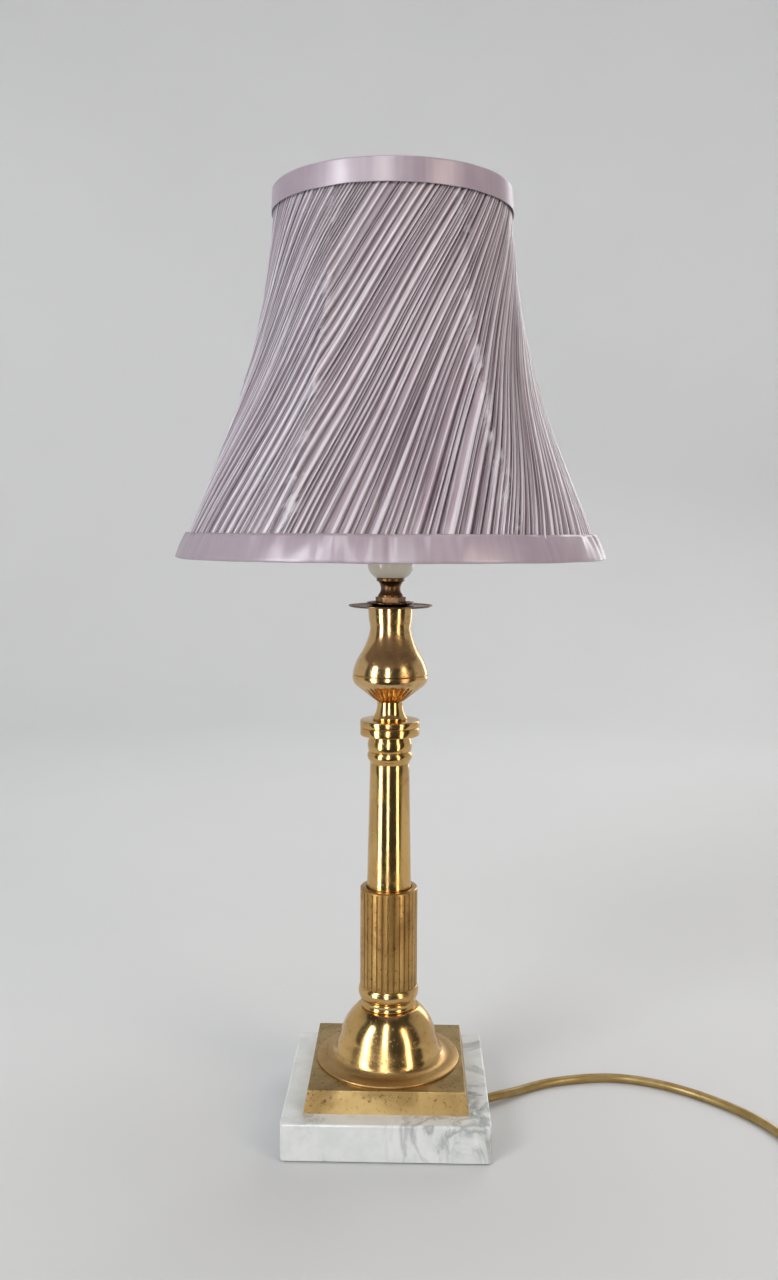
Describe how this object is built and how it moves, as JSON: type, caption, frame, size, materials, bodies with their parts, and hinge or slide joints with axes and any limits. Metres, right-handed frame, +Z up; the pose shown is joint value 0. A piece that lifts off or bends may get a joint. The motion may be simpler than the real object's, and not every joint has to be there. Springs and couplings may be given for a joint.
{
  "type": "table lamp",
  "caption": "Brass candlestick table lamp on a marble block, with a pleated satin bell shade on a bayonet lampholder and a round mains flex.",
  "frame": {"origin": "centre of the felt pad's underside, on the lamp's axis, where the lamp stands", "axes": "+Z up along the lamp's axis, +Y away from the viewer towards the back of the marble block, +X to the side where the flex comes out"},
  "size_m": [0.516, 0.2798, 0.6026],
  "materials": {
    "dark_felt": "matte",
    "white_marble": "polished",
    "grey_rubber": "matte",
    "black_plastic": "matte",
    "gold_flex": "semi-gloss",
    "brown_core": "semi-gloss",
    "green_core": "semi-gloss",
    "polished_brass": "polished",
    "satin_brass": "satin",
    "dark_bronze": "satin",
    "zinc_steel": "satin",
    "cream_plastic": "gloss",
    "contact_brass": "satin",
    "clear_glass": "polished",
    "bulb_aluminium": "satin",
    "tungsten": "matte",
    "painted_wire": "gloss",
    "lilac_satin": "satin",
    "lilac_lining": "satin"
  },
  "bodies": {
    "stand": {"felt_pad": "dark_felt", "marble_base": "white_marble", "cord_grommet": "grey_rubber", "cord_clamp": "black_plastic", "lead_tail": "gold_flex", "supply_cores": "brown_core", "earth_core": "green_core", "plinth_plate": "satin_brass", "dome_foot": "polished_brass", "knuckle_ring": "polished_brass", "fluted_sleeve": "satin_brass", "column_tube": "polished_brass", "reeded_collar": "polished_brass", "cap_disc": "polished_brass", "neck_cone": "polished_brass", "urn": "polished_brass", "drip_pan": "dark_bronze", "dark_saucer": "dark_bronze", "locknut": "dark_bronze", "spindle": "dark_bronze", "stem_tube": "zinc_steel", "clamp_washer": "zinc_steel", "earth_tag": "contact_brass", "split_washer": "zinc_steel", "bottom_nut": "zinc_steel", "holder_cap": "cream_plastic", "grub_screw": "zinc_steel", "holder_body": "cream_plastic", "contact_carrier": "cream_plastic", "terminals": "contact_brass", "plunger_springs": "zinc_steel", "bayonet_barrel": "contact_brass", "flex_lead": "gold_flex", "flex_coil": "gold_flex", "plug_body": "black_plastic", "plug_pins": "contact_brass"},
    "shade": {"shade_top_ring": "painted_wire", "shade_bottom_ring": "painted_wire", "shade_strut_1": "painted_wire", "shade_strut_2": "painted_wire", "shade_strut_3": "painted_wire", "shade_strut_4": "painted_wire", "shade_strut_5": "painted_wire", "shade_strut_6": "painted_wire", "fitter_ring": "painted_wire", "fitter_arms": "painted_wire", "shade_lining": "lilac_lining", "shade_cover": "lilac_satin", "top_trim": "lilac_satin", "bottom_trim": "lilac_satin"},
    "clamp_ring": {"shade_ring": "cream_plastic"},
    "push_bar": {"switch_bar": "cream_plastic"},
    "bulb": {"bulb_cap": "bulb_aluminium", "bulb_contacts": "contact_brass", "bulb_pins": "contact_brass", "bulb_glass": "clear_glass", "bulb_mount": "clear_glass", "bulb_filament": "tungsten"},
    "plungers": {"contact_plungers": "contact_brass"}
  },
  "joints": [
    {"name": "shade_swivel", "type": "hinge", "parent": "stand", "child": "shade", "pos_m": [0, 0, 0.399], "axis": [0, 0, 1], "continuous": true},
    {"name": "ring_turn", "type": "hinge", "parent": "stand", "child": "clamp_ring", "pos_m": [0, 0, 0.4], "axis": [0, 0, 1], "range_deg": [0, 180]},
    {"name": "switch_push", "type": "slide", "parent": "stand", "child": "push_bar", "axis": [1, 0, 0], "range_m": [0, 0.0055]},
    {"name": "bulb_twist", "type": "hinge", "parent": "stand", "child": "bulb", "pos_m": [0, 0, 0.4085], "axis": [0, 0, 1], "range_deg": [0, 20]},
    {"name": "plunger_press", "type": "slide", "parent": "stand", "child": "plungers", "axis": [0, 0, -1], "range_m": [0, 0.002], "stiffness_N_per_m": 300, "springref_m": -0.002, "deforming": ["plunger_springs"]}
  ]
}
